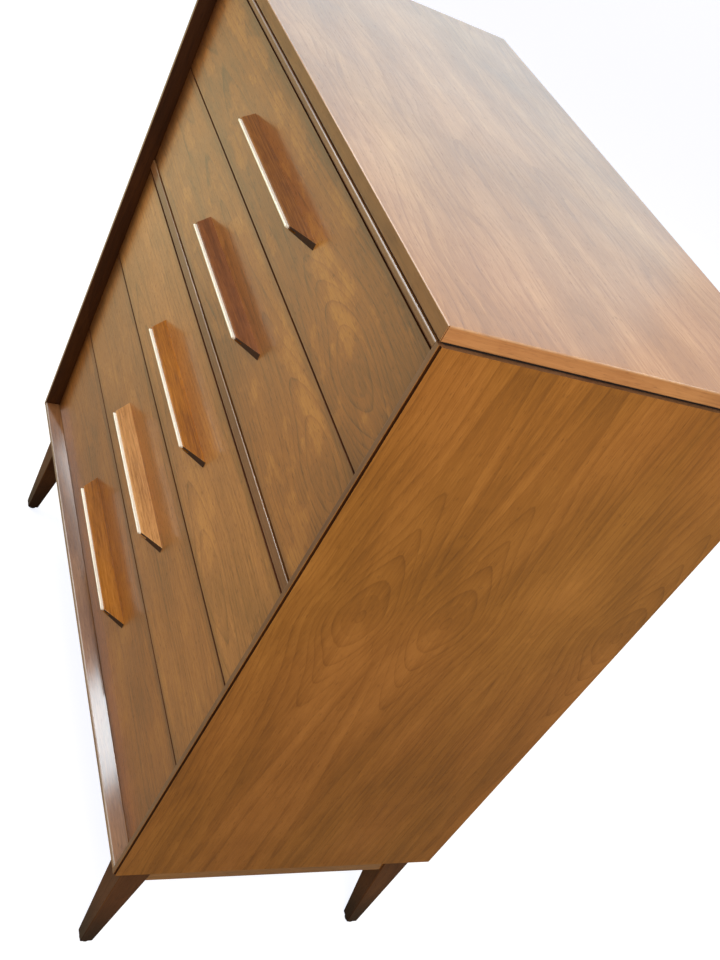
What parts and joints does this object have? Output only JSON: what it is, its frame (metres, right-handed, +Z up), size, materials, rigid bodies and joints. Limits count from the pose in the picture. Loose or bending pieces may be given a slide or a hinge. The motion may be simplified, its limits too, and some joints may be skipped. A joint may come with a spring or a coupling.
{
  "type": "dresser",
  "caption": "Tall wooden dresser with a recessed bank of sliding drawers under a flat top, long pulls with metal strips, and a base frame on tapered legs.",
  "frame": {"origin": "on the floor, under the middle of the overall box with the drawers shut", "axes": "+X is the dresser's right as seen from the front, -Y points out of the front, +Z is up"},
  "size_m": [0.965, 0.513, 1.163],
  "materials": {
    "case_veneer": "satin lacquer over vertical grain",
    "top_veneer": "satin lacquer over grain along the width",
    "front_veneer": "satin lacquer over grain along the width",
    "solid_walnut": "satin lacquer",
    "leg_wood": "satin lacquer, darker towards the tips",
    "pull_wood": "satin lacquer",
    "shadow_board": "matt dark stain",
    "box_wood": "waxed",
    "box_board": "unfinished board",
    "back_board": "unfinished board",
    "runner_wood": "waxed hardwood",
    "strip_metal": "brushed, pale gold tone",
    "screw_steel": "zinc plated",
    "glide_plastic": "matt"
  },
  "bodies": {
    "case": {"top_panel": "top_veneer", "top_edge_bands": "solid_walnut", "top_spacer": "shadow_board", "side_panel_left": "case_veneer", "side_panel_right": "case_veneer", "back_panel": "back_board", "bottom_panel": "case_veneer", "top_rails": "front_veneer", "mid_rail": "front_veneer", "drawer_runners": "runner_wood", "runner_screws": "screw_steel", "base_rail_front": "solid_walnut", "base_rail_back": "solid_walnut", "base_rails_side": "solid_walnut", "base_corner_braces": "box_wood", "leg_front_left": "leg_wood", "leg_front_right": "leg_wood", "leg_back_left": "leg_wood", "leg_back_right": "leg_wood", "foot_glides": "glide_plastic"},
    "drawer_1": {"drawer_1_front": "front_veneer", "drawer_1_side_left": "box_wood", "drawer_1_side_right": "box_wood", "drawer_1_back": "box_wood", "drawer_1_bottom": "box_board", "drawer_1_pull": "pull_wood", "drawer_1_pull_trim": "strip_metal", "drawer_1_pull_screws": "screw_steel"},
    "drawer_2": {"drawer_2_front": "front_veneer", "drawer_2_side_left": "box_wood", "drawer_2_side_right": "box_wood", "drawer_2_back": "box_wood", "drawer_2_bottom": "box_board", "drawer_2_pull": "pull_wood", "drawer_2_pull_trim": "strip_metal", "drawer_2_pull_screws": "screw_steel"},
    "drawer_3": {"drawer_3_front": "front_veneer", "drawer_3_side_left": "box_wood", "drawer_3_side_right": "box_wood", "drawer_3_back": "box_wood", "drawer_3_bottom": "box_board", "drawer_3_pull": "pull_wood", "drawer_3_pull_trim": "strip_metal", "drawer_3_pull_screws": "screw_steel"},
    "drawer_4": {"drawer_4_front": "front_veneer", "drawer_4_side_left": "box_wood", "drawer_4_side_right": "box_wood", "drawer_4_back": "box_wood", "drawer_4_bottom": "box_board", "drawer_4_pull": "pull_wood", "drawer_4_pull_trim": "strip_metal", "drawer_4_pull_screws": "screw_steel"},
    "drawer_5": {"drawer_5_front": "front_veneer", "drawer_5_side_left": "box_wood", "drawer_5_side_right": "box_wood", "drawer_5_back": "box_wood", "drawer_5_bottom": "box_board", "drawer_5_pull": "pull_wood", "drawer_5_pull_trim": "strip_metal", "drawer_5_pull_screws": "screw_steel"}
  },
  "joints": [
    {"name": "drawer_1_slide", "type": "slide", "parent": "case", "child": "drawer_1", "axis": [0, -1, 0], "range_m": [0, 0.33]},
    {"name": "drawer_2_slide", "type": "slide", "parent": "case", "child": "drawer_2", "axis": [0, -1, 0], "range_m": [0, 0.33]},
    {"name": "drawer_3_slide", "type": "slide", "parent": "case", "child": "drawer_3", "axis": [0, -1, 0], "range_m": [0, 0.33]},
    {"name": "drawer_4_slide", "type": "slide", "parent": "case", "child": "drawer_4", "axis": [0, -1, 0], "range_m": [0, 0.33]},
    {"name": "drawer_5_slide", "type": "slide", "parent": "case", "child": "drawer_5", "axis": [0, -1, 0], "range_m": [0, 0.33]}
  ]
}
